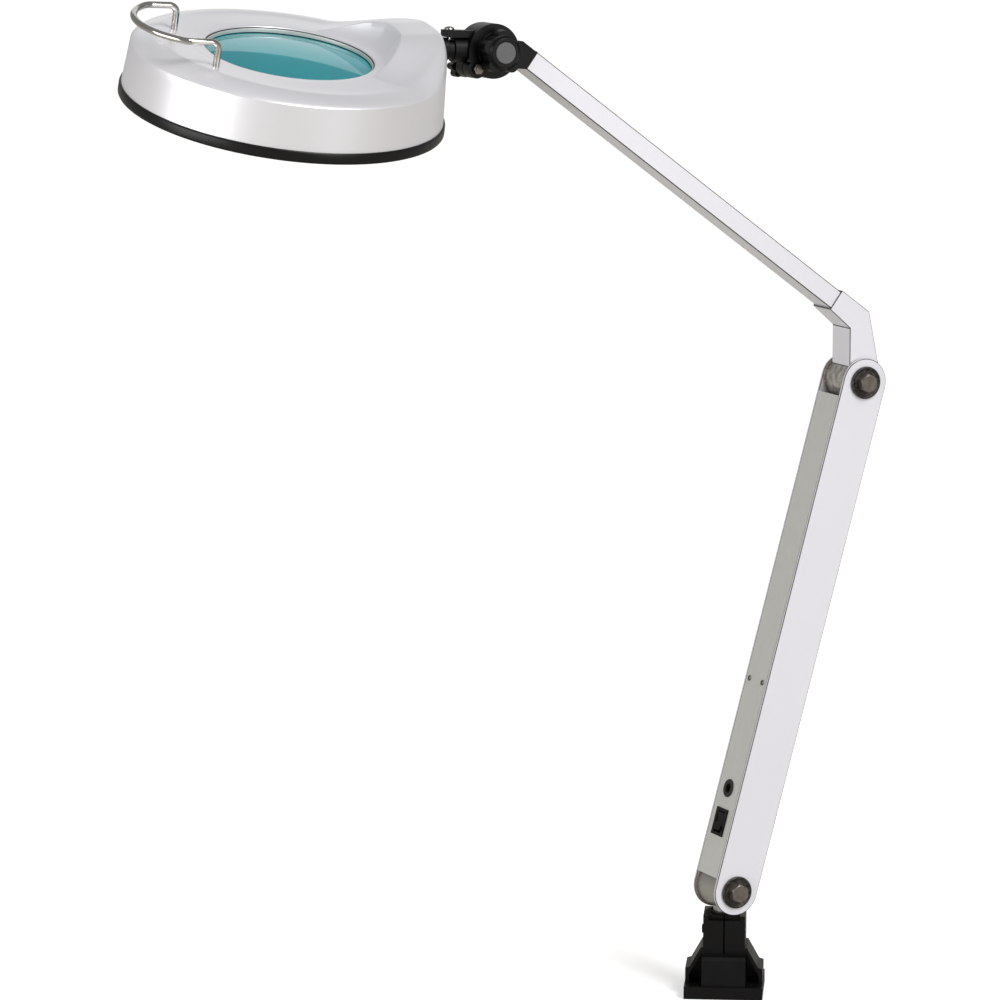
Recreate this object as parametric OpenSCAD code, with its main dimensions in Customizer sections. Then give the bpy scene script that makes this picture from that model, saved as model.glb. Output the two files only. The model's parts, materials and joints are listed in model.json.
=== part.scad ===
// Ring-light magnifier on a two-part friction arm, with a screw-down base.
// Millimetres. +Z is up, and the origin is the centre of the base's underside.

/* [Stance] */
// Angle of the whole arm round the post, degrees
swing = 30; // [-180:5:180]
// Lean of the lower arm from upright, degrees
lean = 15.5; // [0:0.5:60]
// Rise of the upper arm above level, degrees
rise = 36.5; // [10:0.5:60]
// Tilt of the head, its far side up, degrees
head_tilt = 2.8; // [-30:0.1:30]
// Roll of the head about its neck, degrees
head_roll = 14.4; // [-40:0.1:40]

/* [Base] */
// Width of the base plate
base_w = 60; // [58:1:90]
// Depth of the base plate
base_d = 60; // [58:1:90]
// Thickness of the base plate
base_t = 9.5; // [6:0.5:14]
// Height of the side walls
side_h = 21; // [16:1:24]
// Width of the square tower
tower_w = 32; // [28:1:36]
// Height of the arm's lower pivot above the bench
pivot_h = 81; // [78:0.5:110]
// Radius of the holes for the mounting screws
mount_hole_r = 2.2; // [1.5:0.1:2.6]
// Distance of the mounting holes from the plate's edges
mount_inset = 8.5; // [7:0.25:9]

/* [Arm] */
// Distance between the lower arm's pivots
lower_l = 400; // [300:5:500]
// Width of the lower arm, seen from the side
arm_w = 36.4; // [34:0.2:44]
// Depth of the lower arm along its pivots
arm_d = 36.2; // [34:0.2:44]
// Thickness of the lower arm's side plates
plate_t = 2.6; // [2:0.1:3.2]
// Distance along the tube from the elbow to the tilt axis
upper_l = 401; // [300:1:500]
// Height of the tube's centre line above the elbow pivot
tube_off = 37.5; // [35:0.5:44]
// Height of the tube, in the plane of the arm
tube_h = 14.8; // [12:0.2:16]
// Depth of the tube along the pivots
tube_d = 25; // [20:0.5:25.4]
// Wall of the tube
tube_wall = 1.5; // [1:0.1:2.5]
// Radius of the pivot bolts
pivot_r = 4; // [3:0.25:5]
// Radius of the post's stem
post_r = 6; // [5:0.25:7]

/* [Head joint] */
// Radius of the round clamp body
clamp_r = 20; // [19:0.5:23]
// Depth of the clamp body along the tilt axis
clamp_d = 22; // [21:0.5:26]
// Radius of the neck
neck_r = 8.8; // [7:0.1:9.2]
// Distance of the tilt axis below the tube's centre line
tilt_drop = 11.5; // [9:0.5:13]
// Distance from the tilt axis to the lens axis
neck_reach = 155.5; // [153:0.5:175]
// Lobes of the tilt knob
knob_lobes = 5; // [3:1:8]
// Outer radius of the tilt knob
knob_r = 16.4; // [13:0.2:20]

/* [Head] */
// Outer radius of the black rim
rim_r = 117.9; // [115:0.1:122]
// Height of the black rim
rim_h = 8.3; // [5:0.1:10]
// Height of the neck's axis above the rim's underside
neck_h = 48.8; // [48:0.1:52]
// Radius of the lens
lens_r = 63.5; // [60:0.5:65]
// Width of the lens edge that the bezel hides
lens_lap = 3.4; // [2.5:0.1:4.5]
// Radius of curvature of both lens faces
lens_curve = 346; // [260:1:600]
// Wall of the housing
head_wall = 2.5; // [2:0.1:3]
// Radius of the housing's crest
crest_r = 96; // [92:0.5:100]
// Height of the crest beside the lens
crest_h = 44.3; // [43.5:0.1:48]
// Rise of the crest towards the handle
front_lift = 3.9; // [0:0.1:6]
// Rise of the crest above the neck
hump_h = 21.5; // [19:0.5:26]
// Half of the angle that the raised back spans, degrees
hump_half = 55; // [40:1:80]
// Centre radius of the ring lamp
lamp_r = 90.5; // [89.5:0.1:91]
// Radius of the ring lamp's glass
lamp_tube_r = 14.5; // [12:0.1:14.5]

/* [Handle] */
// Radius of the handle's wire
wire_r = 2.4; // [1.5:0.1:3]
// Distance of the handle's legs from the lens axis, along the head
handle_x = 72.6; // [70:0.2:80]
// Half of the distance between the legs
handle_y = 42.5; // [34:0.5:46]
// Height of the handle's top wire above the rim's underside
handle_z = 64; // [60:0.5:72]

/* [Fits] */
// Radial clearance of a turning fit
run_fit = 0.05; // [0.02:0.01:0.1]
// Clearance of a fixed fit
still_fit = 0.05; // [0.02:0.01:0.15]
// Gap that the arm keeps above the tower
swing_gap = 0.8; // [0.5:0.1:3]

/* [Hidden] */
$fn = 96;
silver = [0.88, 0.88, 0.91];
satin = [0.68, 0.68, 0.66];
black = [0.08, 0.08, 0.09];
bronze = [0.27, 0.23, 0.21];
chrome = [0.75, 0.75, 0.76];
white = [0.95, 0.95, 0.94];
eps = 0.01;

elbow_x = lower_l * sin(lean);
elbow_z = pivot_h + lower_l * cos(lean);
tilt_off = tube_off - tilt_drop;
tilt_x = elbow_x - upper_l * cos(rise) + tilt_off * sin(rise);
tilt_z = elbow_z + upper_l * sin(rise) + tilt_off * cos(rise);

arm_r = arm_w / 2;
inner_y = arm_d / 2 - plate_t;
disc_t = 1.5;
barrel_r = arm_r - 2;
barrel_y = inner_y - disc_t - run_fit;
tower_h = pivot_h - arm_r - swing_gap;
bush_wall = 2;
bush_flange_t = 1.6;
bore_floor = 13;
clamp_screw_r = 2;
clamp_screw_z = tower_h - 11;
clamp_screw_y = -(post_r + bush_wall + clamp_screw_r + 1);
notch_d = 3.6;
side_wall_t = 2.9;
wedge_rise = 16.3;
web_half = 1.5;
brace_rise = 10.5;
brace_w = tower_w + 1.2;
web_t = 2.6;
web_end = 26;
cover_t = 1.5;
cover_low = 7;
cover_high = lower_l - 14.4;
cup_r = 12.4;
cup_t = 2.4;
cup_seat = 1.2;
hex_af = 13;
hex_t = 6.2;
cover_screw_z = 0.4 * lower_l;
cover_screw_y = 10.25;
gland_z = 75;
gland_r = 5.6;
gland_bore_r = 3.6;
switch_z = 48.5;
switch_w = 17;
switch_h = 21;
rocker_w = 10.4;
rocker_half = 7;
rocker_rest = 9;
rocker_pivot_x = -arm_r + 1.2;
ballast_w = 24;
ballast_l = 95;
starter_r = 10.5;
starter_l = 36;

sleeve_wall = 1.25;
sleeve_y = barrel_y - 0.2;
sleeve_end = 56.6;
sleeve_top_x = 27.3;
tube_start = 24;
leg_back = -11;
leg_front = 12.9;
tube_end = 28;
ear_t = 3.2;
ear_r = 13.9;
ear_y = clamp_d / 2 + run_fit;
tilt_bolt_r = 3;
washer_t = 1;
knob_gap = 0.2;
knob_base = ear_y + ear_t + washer_t + knob_gap;
knob_t = 13;
knob_crown_t = 2.6;
knob_crown_r = 10.6;
knob_core_r = 12.6;
lobe_r = 5;
cap_r = 7.7;
lug_at = 13;
lug_r = 7;
roll_bolt_r = 2.5;
roll_knob_base = ear_y + ear_t + knob_gap;
roll_knob_t = 9;
tongue_t = 5.2;
tongue_top = 14.3;
stop_x = 31.5;
stop_r = 1.6;

wall_draft = 4.8;
wall_foot = 1.5;
wall_foot_r = rim_r - 1.2;
wall_top = 39.5;
neck_wall_r = wall_foot_r - (neck_h - wall_foot) * tan(wall_draft);
aperture_r = lens_r - 2;
lip_top = 44;
lip_under = 41.5;
bezel_t = 1.5;
gasket_t = 0.7;
lens_edge = 2.5;
lens_top = lip_under - bezel_t - gasket_t;
lens_cap_r = lens_r - lens_lap + 0.2;
retainer_t = 2.5;
retainer_r = lens_r + 9;
retainer_z = lens_top - lens_edge - retainer_t;
boss_r = 3;
boss_at = lens_r + 7.4;
lamp_z = 22;
lamp_gap = 30;
reflector_t = 0.8;
reflector_z = lamp_z + lamp_tube_r + 2;
reflector_in = retainer_r + 1;
reflector_out = lamp_r + 18.4;
reflector_foot = 10;
rim_boss_at = wall_foot_r - head_wall - 3.2;
bend_r = 6;
bow_r = 52;
bow_fillet = 12;
bow_x = handle_x - 6.6;
fillet_y = handle_y - bow_fillet;
fillet_x = sqrt(pow(bow_r - bow_fillet, 2) - pow(fillet_y, 2));
bow_half = atan2(fillet_y, fillet_x);

// ---- Places: each holds its children where that part of the lamp stands ----

module at_arm() rotate([0, 0, swing]) children();
module at_lower() at_arm() translate([0, 0, pivot_h]) rotate([0, lean, 0]) children();
module at_elbow() at_lower() translate([0, 0, lower_l]) children();
module at_upper() at_arm() translate([elbow_x, 0, elbow_z]) rotate([0, rise, 0]) children();
module at_arm_end() at_upper() translate([-upper_l, 0, tilt_off]) children();
module at_clamp() at_arm() translate([tilt_x, 0, tilt_z]) rotate([0, head_tilt, 0]) children();
module at_head() at_clamp() rotate([head_roll, 0, 0]) translate([-neck_reach, 0, -neck_h]) children();

// ---- Shapes that repeat ----

// Cylinder along Y from y0 to y1
module rod_y(r, y0, y1) translate([0, y1, 0]) rotate([90, 0, 0]) cylinder(r = r, h = y1 - y0);

// Cylinder along X from x0 to x1
module rod_x(r, x0, x1) translate([x0, 0, 0]) rotate([0, 90, 0]) cylinder(r = r, h = x1 - x0);

// Hexagonal prism along Y, with the width across flats af
module hex_y(af, y0, y1) translate([0, y1, 0]) rotate([90, 0, 0])
    cylinder(r = af / 2 / cos(30), h = y1 - y0, $fn = 6);

// Outline in the plane of the arm, extruded along Y from y0 to y1
module flat_y(y0, y1) translate([0, y1, 0]) rotate([90, 0, 0]) linear_extrude(y1 - y0) children();

// Ring about Z
module ring(r_out, r_in, z0, z1) translate([0, 0, z0]) difference() {
    cylinder(r = r_out, h = z1 - z0);
    translate([0, 0, -eps]) cylinder(r = r_in, h = z1 - z0 + 2 * eps);
}

// Both cup washers of a pivot: dished discs, hollow side out
module cup_washers() for (side = [-1, 1]) scale([1, side, 1])
    translate([0, arm_d / 2, 0]) rotate([-90, 0, 0]) rotate_extrude()
        polygon([[pivot_r + still_fit, 0], [cup_r - 1.2, 0], [cup_r, 0.8], [cup_r, 1.8],
            [cup_r - 0.9, cup_t], [hex_af / 2 + 2.6, cup_seat], [pivot_r + still_fit, cup_seat]]);

// Both friction discs of a pivot, between the barrel and the plates
module friction_discs() for (side = [-1, 1]) scale([1, side, 1]) difference() {
    rod_y(arm_r - 0.3, barrel_y + run_fit, inner_y);
    rod_y(pivot_r + still_fit, barrel_y, inner_y + 1);
}

// Pivot bolt: its hexagonal head at the near side, its end through the nut
module pivot_bolt() {
    rod_y(pivot_r, -arm_d / 2 - 2, arm_d / 2 + 9.5);
    rotate([0, 10, 0]) difference() {
        hex_y(hex_af, -arm_d / 2 - cup_seat - hex_t, -arm_d / 2 - cup_seat);
        translate([0, -arm_d / 2 - cup_seat - hex_t, 0]) rotate([-90, 0, 0]) difference() {
            translate([0, 0, -eps]) cylinder(r = hex_af, h = 1.2);
            translate([0, 0, -2 * eps]) cylinder(r1 = hex_af / 2 - 0.4, r2 = hex_af / 2 + 1.2, h = 1.4);
        }
    }
}

module pivot_nut() difference() {
    rotate([0, 10, 0]) hex_y(hex_af, arm_d / 2 + cup_seat, arm_d / 2 + cup_seat + 6.5);
    rod_y(pivot_r + still_fit, arm_d / 2, arm_d / 2 + 12);
}

// ---- Base ----

// A side brace's skin, drawn from the tower outwards
module wedge_outline() polygon([[tower_w / 2 - 1, base_t - 1], [base_w / 2 - 0.5, base_t - 1],
    [base_w / 2 - 0.5, side_h], [base_w / 2 - 3.8, side_h + 1],
    [tower_w / 2 + 1.6, side_h + wedge_rise], [tower_w / 2 - 1, side_h + wedge_rise]]);

// The pocket under that skin
module pocket_outline() polygon([[tower_w / 2 + 0.8, base_t],
    [base_w / 2 - 0.5 - side_wall_t, base_t], [base_w / 2 - 0.5 - side_wall_t, side_h - 5.4],
    [tower_w / 2 + 0.8, side_h + wedge_rise - 4]]);

module base_bracket() color(black) difference() {
    union() {
        translate([-base_w / 2, -base_d / 2, 0]) cube([base_w, base_d, base_t]);
        translate([-tower_w / 2, -tower_w / 2, 0]) cube([tower_w, tower_w, tower_h]);
        for (side = [-1, 1]) {
            scale([side, 1, 1]) flat_y(-tower_w / 2, tower_w / 2) wedge_outline();
            scale([1, side, 1]) rotate([90, 0, 90]) translate([0, 0, -brace_w / 2])
                linear_extrude(brace_w)
                    polygon([[tower_w / 2 - 1, base_t - 1], [base_d / 2 - 3, base_t - 1],
                        [base_d / 2 - 5, side_h + brace_rise - 2.5],
                        [base_d / 2 - 7, side_h + brace_rise], [tower_w / 2 - 1, side_h + brace_rise]]);
        }
    }
    translate([0, 0, bore_floor]) cylinder(r = post_r + bush_wall + still_fit, h = tower_h);
    // Slit that lets the clamp screw close the tower on the bush
    translate([-0.6, -tower_w / 2 - 1, side_h + brace_rise + 1]) cube([1.2, tower_w / 2, tower_h]);
    // Notch in the front of the tower's top
    translate([-tower_w / 2 + 4, -tower_w / 2 - 1, tower_h - notch_d])
        cube([tower_w - 8, 5, notch_d + 1]);
    // Pockets under the side braces, on both sides of a web
    for (side = [-1, 1], end = [-1, 1])
        scale([side, end, 1]) flat_y(web_half, tower_w / 2 + 1) pocket_outline();
    translate([0, clamp_screw_y, clamp_screw_z]) {
        rod_x(clamp_screw_r + still_fit, -tower_w, tower_w);
        rotate([90, 0, 90]) translate([0, 0, tower_w / 2 - 3.2])
            cylinder(r = 7 / 2 / cos(30) + still_fit, h = 5, $fn = 6);
    }
    for (x = [-1, 1], y = [-1, 1])
        translate([x * (base_w / 2 - mount_inset), y * (base_d / 2 - mount_inset), -1])
            cylinder(r = mount_hole_r, h = base_t + 2);
}

module post_bush() color([0.2, 0.2, 0.21]) difference() {
    union() {
        translate([0, 0, bore_floor]) cylinder(r = post_r + bush_wall, h = tower_h - bore_floor);
        translate([0, 0, tower_h]) cylinder(r = post_r + bush_wall + 3.5, h = bush_flange_t);
    }
    translate([0, 0, bore_floor + 2]) cylinder(r = post_r + run_fit, h = tower_h);
}

module base_clamp_screw() color(black) translate([0, clamp_screw_y, clamp_screw_z]) {
    rod_x(clamp_screw_r, -tower_w / 2 - 0.5, tower_w / 2 - 0.4);
    rotate([0, -90, 0]) rotate_extrude() polygon([[0, tower_w / 2], [3.6, tower_w / 2],
        [3.6, tower_w / 2 + 0.5], [2.8, tower_w / 2 + 1.1], [0, tower_w / 2 + 1.3]]);
}

module base_clamp_nut() color(chrome) translate([0, clamp_screw_y, clamp_screw_z]) difference() {
    rotate([90, 0, 90]) translate([0, 0, tower_w / 2 - 3.1]) cylinder(r = 7 / 2 / cos(30), h = 3, $fn = 6);
    rod_x(clamp_screw_r + still_fit, 0, tower_w);
}

module pivot_post() color(satin) at_arm() difference() {
    union() {
        translate([0, 0, bore_floor + 2.1]) cylinder(r = post_r, h = pivot_h - bore_floor - 2.1);
        translate([0, 0, tower_h + bush_flange_t + run_fit])
            cylinder(r = post_r + 3, h = pivot_h - tower_h - bush_flange_t - run_fit);
        translate([0, 0, pivot_h]) rod_y(barrel_r, -barrel_y, barrel_y);
    }
    translate([0, 0, pivot_h]) rod_y(pivot_r + run_fit, -arm_d, arm_d);
}

// ---- Lower arm ----

module arm_outline() {
    circle(r = arm_r);
    translate([0, lower_l]) circle(r = arm_r);
    translate([-arm_r, 0]) square([arm_w, lower_l]);
}

module arm_channel() color(silver) at_lower() difference() {
    union() {
        flat_y(-arm_d / 2, -inner_y) arm_outline();
        flat_y(inner_y, arm_d / 2) arm_outline();
        translate([arm_r - web_t, -arm_d / 2, web_end]) cube([web_t, arm_d, lower_l - 2 * web_end]);
    }
    for (z = [0, lower_l]) translate([0, 0, z]) rod_y(pivot_r + still_fit, -arm_d, arm_d);
}

module arm_cover() color(satin) at_lower() difference() {
    union() {
        translate([-arm_r, -inner_y + still_fit, cover_low])
            cube([cover_t, 2 * (inner_y - still_fit), cover_high - cover_low]);
        for (side = [-1, 1]) scale([1, side, 1]) translate([-arm_r, inner_y - still_fit - 1.2, web_end])
            cube([8, 1.2, lower_l - 2 * web_end]);
    }
    translate([-arm_r - 1, 0, switch_z])
        translate([0, -6.6, -9.7]) cube([5, 13.2, 19.4]);
    translate([0, 0, gland_z]) rod_x(gland_r + still_fit, -arm_r - 1, 0);
    for (y = [-1, 1]) translate([0, y * cover_screw_y, cover_screw_z])
        rod_x(1.2 + still_fit, -arm_r - 1, -arm_r + 3);
}

module cover_screws() color(chrome) at_lower() for (y = [-1, 1])
    translate([-arm_r, y * cover_screw_y, cover_screw_z]) {
        rod_x(1.2, -0.1, 5);
        rotate([0, -90, 0]) rotate_extrude() polygon([[0, 0], [2.2, 0], [2.0, 0.7], [1.2, 1.1], [0, 1.2]]);
    }

module switch_body() color(black) at_lower() translate([-arm_r, 0, switch_z]) difference() {
    union() {
        translate([-1.2, -switch_w / 2, -switch_h / 2]) cube([1.2, switch_w, switch_h]);
        translate([-0.1, -6.5, -9.6]) cube([14, 13, 19.2]);
    }
    translate([-2, -rocker_w / 2 - 0.3, -rocker_half - 1.2]) cube([8, rocker_w + 0.6, 2 * rocker_half + 2.4]);
    translate([rocker_pivot_x + arm_r, 0, 0]) rod_y(0.8 + run_fit, -6, 6);
}

module switch_rocker() color(black) at_lower() translate([rocker_pivot_x, 0, switch_z]) {
    rotate([0, rocker_rest, 0]) flat_y(-rocker_w / 2, rocker_w / 2)
        polygon([[2.6, -5], [-3.4, -rocker_half], [-3.2, -rocker_half + 1.2], [-1.7, 0],
            [-3.2, rocker_half - 1.2], [-3.4, rocker_half], [2.6, 5]]);
    rod_y(0.8, -5.9, 5.9);
}

module cable_gland() color(black) at_lower() translate([0, 0, gland_z]) difference() {
    union() {
        rod_x(gland_r, -arm_r, -arm_r + cover_t + 2.5);
        rod_x(gland_r + 1.4, -arm_r - 0.9, -arm_r);
        rod_x(gland_r + 1, -arm_r + cover_t, -arm_r + cover_t + 1);
    }
    rod_x(gland_bore_r, -arm_w, 0);
}

module ballast() color([0.75, 0.75, 0.73]) at_lower() difference() {
    union() {
        translate([-arm_r + cover_t, -ballast_w / 2, cover_screw_z - 8]) cube([1.6, ballast_w, 20]);
        translate([-arm_r + cover_t, -ballast_w / 2, cover_screw_z + 10])
            cube([arm_w - cover_t - web_t - 1, ballast_w, ballast_l]);
    }
    for (y = [-1, 1]) translate([0, y * cover_screw_y, cover_screw_z]) rod_x(1.2 + still_fit, -arm_r, 0);
}

module starter_socket() color(white) at_lower()
    translate([arm_r - web_t - 2 * starter_r - 2, -starter_r - 1, cover_screw_z + ballast_l + 20])
        cube([2 * starter_r + 2, 2 * starter_r + 2, 8]);

module starter() color([0.85, 0.86, 0.88]) at_lower()
    translate([arm_r - web_t - starter_r - 1, 0, cover_screw_z + ballast_l + 28 + still_fit])
        cylinder(r = starter_r, h = starter_l);

module base_pivot_bolt() color(bronze) at_lower() pivot_bolt();
module base_pivot_nut() color(bronze) at_lower() pivot_nut();
module base_cup_washers() color(bronze) at_lower() cup_washers();
module base_friction_discs() color([0.5, 0.42, 0.38]) at_lower() friction_discs();
module elbow_pivot_bolt() color(bronze) at_elbow() pivot_bolt();
module elbow_pivot_nut() color(bronze) at_elbow() pivot_nut();
module elbow_cup_washers() color(bronze) at_elbow() cup_washers();
module elbow_friction_discs() color([0.5, 0.42, 0.38]) at_elbow() friction_discs();

// ---- Upper arm ----

// A point given upright from the elbow, in the tube's own tilted axes
function upright(x, z) = [x * cos(rise) - z * sin(rise), x * sin(rise) + z * cos(rise)];

module sleeve_outline() polygon([
    [-sleeve_end, tube_off - tube_h / 2 - sleeve_wall],
    [-sleeve_end, tube_off + tube_h / 2 + sleeve_wall],
    [-sleeve_top_x, tube_off + tube_h / 2 + sleeve_wall],
    upright(leg_front, 17.6),
    upright(leg_front + 2.6, 4),
    upright(0, 0),
    upright(leg_back, 8),
    upright(leg_back, 41.5)]);

module elbow_bracket() color(silver) at_upper() difference() {
    union() {
        flat_y(-sleeve_y, sleeve_y) sleeve_outline();
        rod_y(barrel_r, -barrel_y, barrel_y);
    }
    translate([-sleeve_end - 1, -tube_d / 2 - still_fit, tube_off - tube_h / 2 - still_fit])
        cube([sleeve_end + 1 - tube_start, tube_d + 2 * still_fit, tube_h + 2 * still_fit]);
    rod_y(pivot_r + run_fit, -arm_d, arm_d);
}

module arm_tube() color(silver) at_upper() difference() {
    translate([-upper_l + tube_end, -tube_d / 2, tube_off - tube_h / 2])
        cube([upper_l - tube_end - tube_start - 1, tube_d, tube_h]);
    translate([-upper_l, -tube_d / 2 + tube_wall, tube_off - tube_h / 2 + tube_wall])
        cube([upper_l, tube_d - 2 * tube_wall, tube_h - 2 * tube_wall]);
}

// Ear of the arm's end: round at the tilt bolt, square where it meets the tube
module ear_outline() {
    circle(r = ear_r);
    polygon([[0, ear_r], [tube_end, tilt_drop + tube_h / 2], [tube_end, tilt_drop - tube_h / 2],
        [ear_r - 4, -ear_r + 6], [0, 0]]);
}

module arm_end() color(black) at_arm_end() difference() {
    union() {
        for (side = [-1, 1]) scale([1, side, 1]) flat_y(ear_y, ear_y + ear_t) ear_outline();
        translate([14, -ear_y - 1, tilt_drop - tube_h / 2]) cube([tube_end - 14, 2 * ear_y + 2, tube_h]);
        translate([tube_end - 1, -tube_d / 2 + tube_wall + still_fit,
                tilt_drop - tube_h / 2 + tube_wall + still_fit])
            cube([22, tube_d - 2 * tube_wall - 2 * still_fit, tube_h - 2 * tube_wall - 2 * still_fit]);
    }
    rod_y(clamp_r + 0.4, -ear_y, ear_y);
    rod_y(tilt_bolt_r + still_fit, -clamp_d, clamp_d);
}

module tilt_bolt() color(chrome) at_arm_end() {
    rod_y(tilt_bolt_r, -knob_base - knob_t + 2, ear_y + ear_t + 1);
    hex_y(10, ear_y + ear_t, ear_y + ear_t + 4);
}

module tilt_washer() color(chrome) at_arm_end() difference() {
    rod_y(8, -ear_y - ear_t - washer_t, -ear_y - ear_t);
    rod_y(tilt_bolt_r + still_fit, -clamp_d, clamp_d);
}

module tilt_knob() color(black) at_arm_end() rotate([0, -52, 0]) difference() {
    union() {
        flat_y(-knob_base - knob_t, -knob_base) {
            circle(r = knob_core_r);
            for (k = [0:knob_lobes - 1]) rotate(k * 360 / knob_lobes)
                translate([knob_r - lobe_r, 0]) circle(r = lobe_r);
        }
        translate([0, -knob_base - knob_t + 1, 0]) rotate([90, 0, 0]) rotate_extrude()
            polygon([[0, 0], [knob_core_r - 0.3, 0], [knob_core_r - 0.3, 1],
                [knob_crown_r, knob_crown_t + 1], [0, knob_crown_t + 1]]);
    }
    rod_y(tilt_bolt_r + run_fit, -knob_base - knob_t + 1.9, 0);
    rod_y(cap_r + still_fit, -knob_base - knob_t - knob_crown_t - 1, -knob_base - knob_t - knob_crown_t + 0.8);
}

module knob_cap() color([0.35, 0.36, 0.37]) at_arm_end()
    rod_y(cap_r, -knob_base - knob_t - knob_crown_t - 0.3, -knob_base - knob_t - knob_crown_t + 0.75);

// ---- Head clamp ----

module clamp_body() color(black) at_clamp() difference() {
    union() {
        rod_y(clamp_r, -clamp_d / 2, clamp_d / 2);
        translate([-lug_at, 0, -lug_at]) rod_y(lug_r, -clamp_d / 2, clamp_d / 2);
        translate([-stop_x - 4, -6, tongue_top - tongue_t]) cube([stop_x - 10, 12, tongue_t]);
    }
    rod_x(neck_r + run_fit, -clamp_r * 2, -6.5);
    translate([-clamp_r * 2, -0.6, -clamp_r * 2]) cube([clamp_r * 2 - 6.5, 1.2, clamp_r * 2]);
    rod_y(tilt_bolt_r + run_fit, -clamp_d, clamp_d);
    translate([-lug_at, 0, -lug_at]) rod_y(roll_bolt_r + still_fit, -clamp_d, clamp_d);
    translate([-stop_x, 0, 0]) cylinder(r = stop_r + still_fit, h = clamp_r);
}

module stop_screw() color(chrome) at_clamp() translate([-stop_x, 0, 0]) {
    translate([0, 0, neck_r - 1.4]) cylinder(r = stop_r, h = tongue_top - neck_r + 1.6);
    translate([0, 0, tongue_top]) rotate_extrude()
        polygon([[0, 0], [3.8, 0], [3.8, 0.7], [3.1, 1.8], [1.8, 2.4], [0, 2.6]]);
}

module roll_bolt() color(chrome) at_clamp() translate([-lug_at, 0, -lug_at])
    rod_y(roll_bolt_r, -clamp_d / 2 - 4, roll_knob_base + roll_knob_t - 2.1);

module roll_nut() color(chrome) at_clamp() translate([-lug_at, 0, -lug_at]) difference() {
    hex_y(7, -clamp_d / 2 - 3.4, -clamp_d / 2);
    rod_y(roll_bolt_r + still_fit, -clamp_d, 0);
}

module roll_knob() color(black) at_clamp() translate([-lug_at, 0, -lug_at]) difference() {
    union() {
        rod_y(roll_bolt_r + 1.6, clamp_d / 2 + knob_gap, roll_knob_base + 1);
        flat_y(roll_knob_base, roll_knob_base + roll_knob_t) {
            circle(r = 6.4);
            for (k = [0:5]) rotate(60 * k) translate([6, 0]) circle(r = 2.6);
        }
    }
    rod_y(roll_bolt_r + run_fit, 0, roll_knob_base + roll_knob_t - 2);
}

// ---- Neck ----

module neck_stub() color(black) at_head() translate([0, 0, neck_h]) difference() {
    union() {
        rod_x(neck_r, neck_wall_r + 0.15, neck_reach - 6.6);
        rod_x(neck_r - 1.3, neck_wall_r - 9.5, neck_wall_r + 1);
    }
    rod_x(4, neck_wall_r - 12, neck_reach);
    // Groove that the stop screw runs in
    difference() {
        rod_x(neck_r + 1, neck_reach - stop_x - 2.2, neck_reach - stop_x + 2.2);
        rod_x(neck_r - 1.9, neck_reach - stop_x - 3, neck_reach - stop_x + 3);
    }
}

module neck_nut() color(chrome) at_head() translate([0, 0, neck_h]) difference() {
    translate([neck_wall_r - 9.6, 0, 0]) rotate([0, 90, 0]) cylinder(r = 9 / cos(30), h = 4.8, $fn = 6);
    rod_x(neck_r - 1.3 + still_fit, 0, neck_reach);
}

// ---- Head ----

// How far the raised back has risen at an angle from the neck, 0 to 1
function hump(a) = abs(a) < hump_half ? pow(cos(90 * a / hump_half), 2) : 0;
function crest_at(a) = crest_h + front_lift * pow((1 - cos(a)) / 2, 3) + hump_h * hump(a);
function wall_r(z) = wall_foot_r - (z - wall_foot) * tan(wall_draft);

// Section of the housing at an angle: up the outside, over the crest, down to
// the lens aperture, and back along the inside
function head_section(a) =
    let (h = hump(a), top = crest_at(a), shoulder = wall_top + 17.5 * h,
        ridge = crest_r + 8 * h, back = crest_r - 3 - 6 * h)
    [[wall_r(wall_foot), wall_foot], [wall_r(shoulder), shoulder],
        [wall_r(shoulder) - 3, shoulder + 0.55 * (top - shoulder)],
        [ridge + 4, top - 1.1], [ridge, top], [back, top - 0.1 - 0.6 * h],
        [back - 5 - 2 * h, top - 0.5 - 6 * h], [aperture_r + 14, lip_top + 0.9 + 5 * h],
        [aperture_r + 6, lip_top + 0.4 + h], [aperture_r, lip_top],
        [aperture_r, lip_under], [aperture_r + 10, lip_under],
        [aperture_r + 17, lip_under + 0.4 + 4 * h], [back - 5, top - 0.6 - head_wall - 6 * h],
        [ridge, top - head_wall - 0.2 - 0.4 * h],
        [wall_r(shoulder) - head_wall - 1.5, shoulder - 0.5 + 0.4 * (top - shoulder)],
        [wall_r(shoulder) - head_wall, shoulder - 2], [wall_foot_r - head_wall, wall_foot]];

module head_shell(steps) {
    points = [for (k = [0:steps - 1]) let (a = k * 360 / steps - (k * 2 > steps ? 360 : 0))
        for (p = head_section(a)) [p[0] * cos(a), p[0] * sin(a), p[1]]];
    count = len(head_section(0));
    faces = [for (k = [0:steps - 1], j = [0:count - 1])
        let (n = (k + 1) % steps, m = (j + 1) % count)
            for (f = [[k * count + j, k * count + m, n * count + m],
                [k * count + j, n * count + m, n * count + j]]) f];
    polyhedron(points, faces);
}

module head_housing() color(silver) at_head() difference() {
    union() {
        head_shell(72);
        for (a = [60, 180, 300]) rotate([0, 0, a]) translate([boss_at, 0, retainer_z + retainer_t])
            cylinder(r = boss_r, h = lip_under - retainer_z - retainer_t + 0.5, $fn = 24);
        for (a = [45:90:315]) rotate([0, 0, a]) translate([rim_boss_at, 0, wall_foot])
            cylinder(r = 3.4, h = reflector_foot - wall_foot, $fn = 24);
    }
    translate([0, 0, neck_h]) {
        rod_x(neck_r - 1.3 + still_fit, neck_wall_r - 12, neck_wall_r + 12);
        rod_x(neck_r + still_fit, neck_wall_r + 0.1, neck_wall_r + 12);
    }
    for (side = [-1, 1]) translate([-handle_x, side * handle_y, lip_under - 2])
        cylinder(r = wire_r + still_fit, h = 20, $fn = 24);
}

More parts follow.
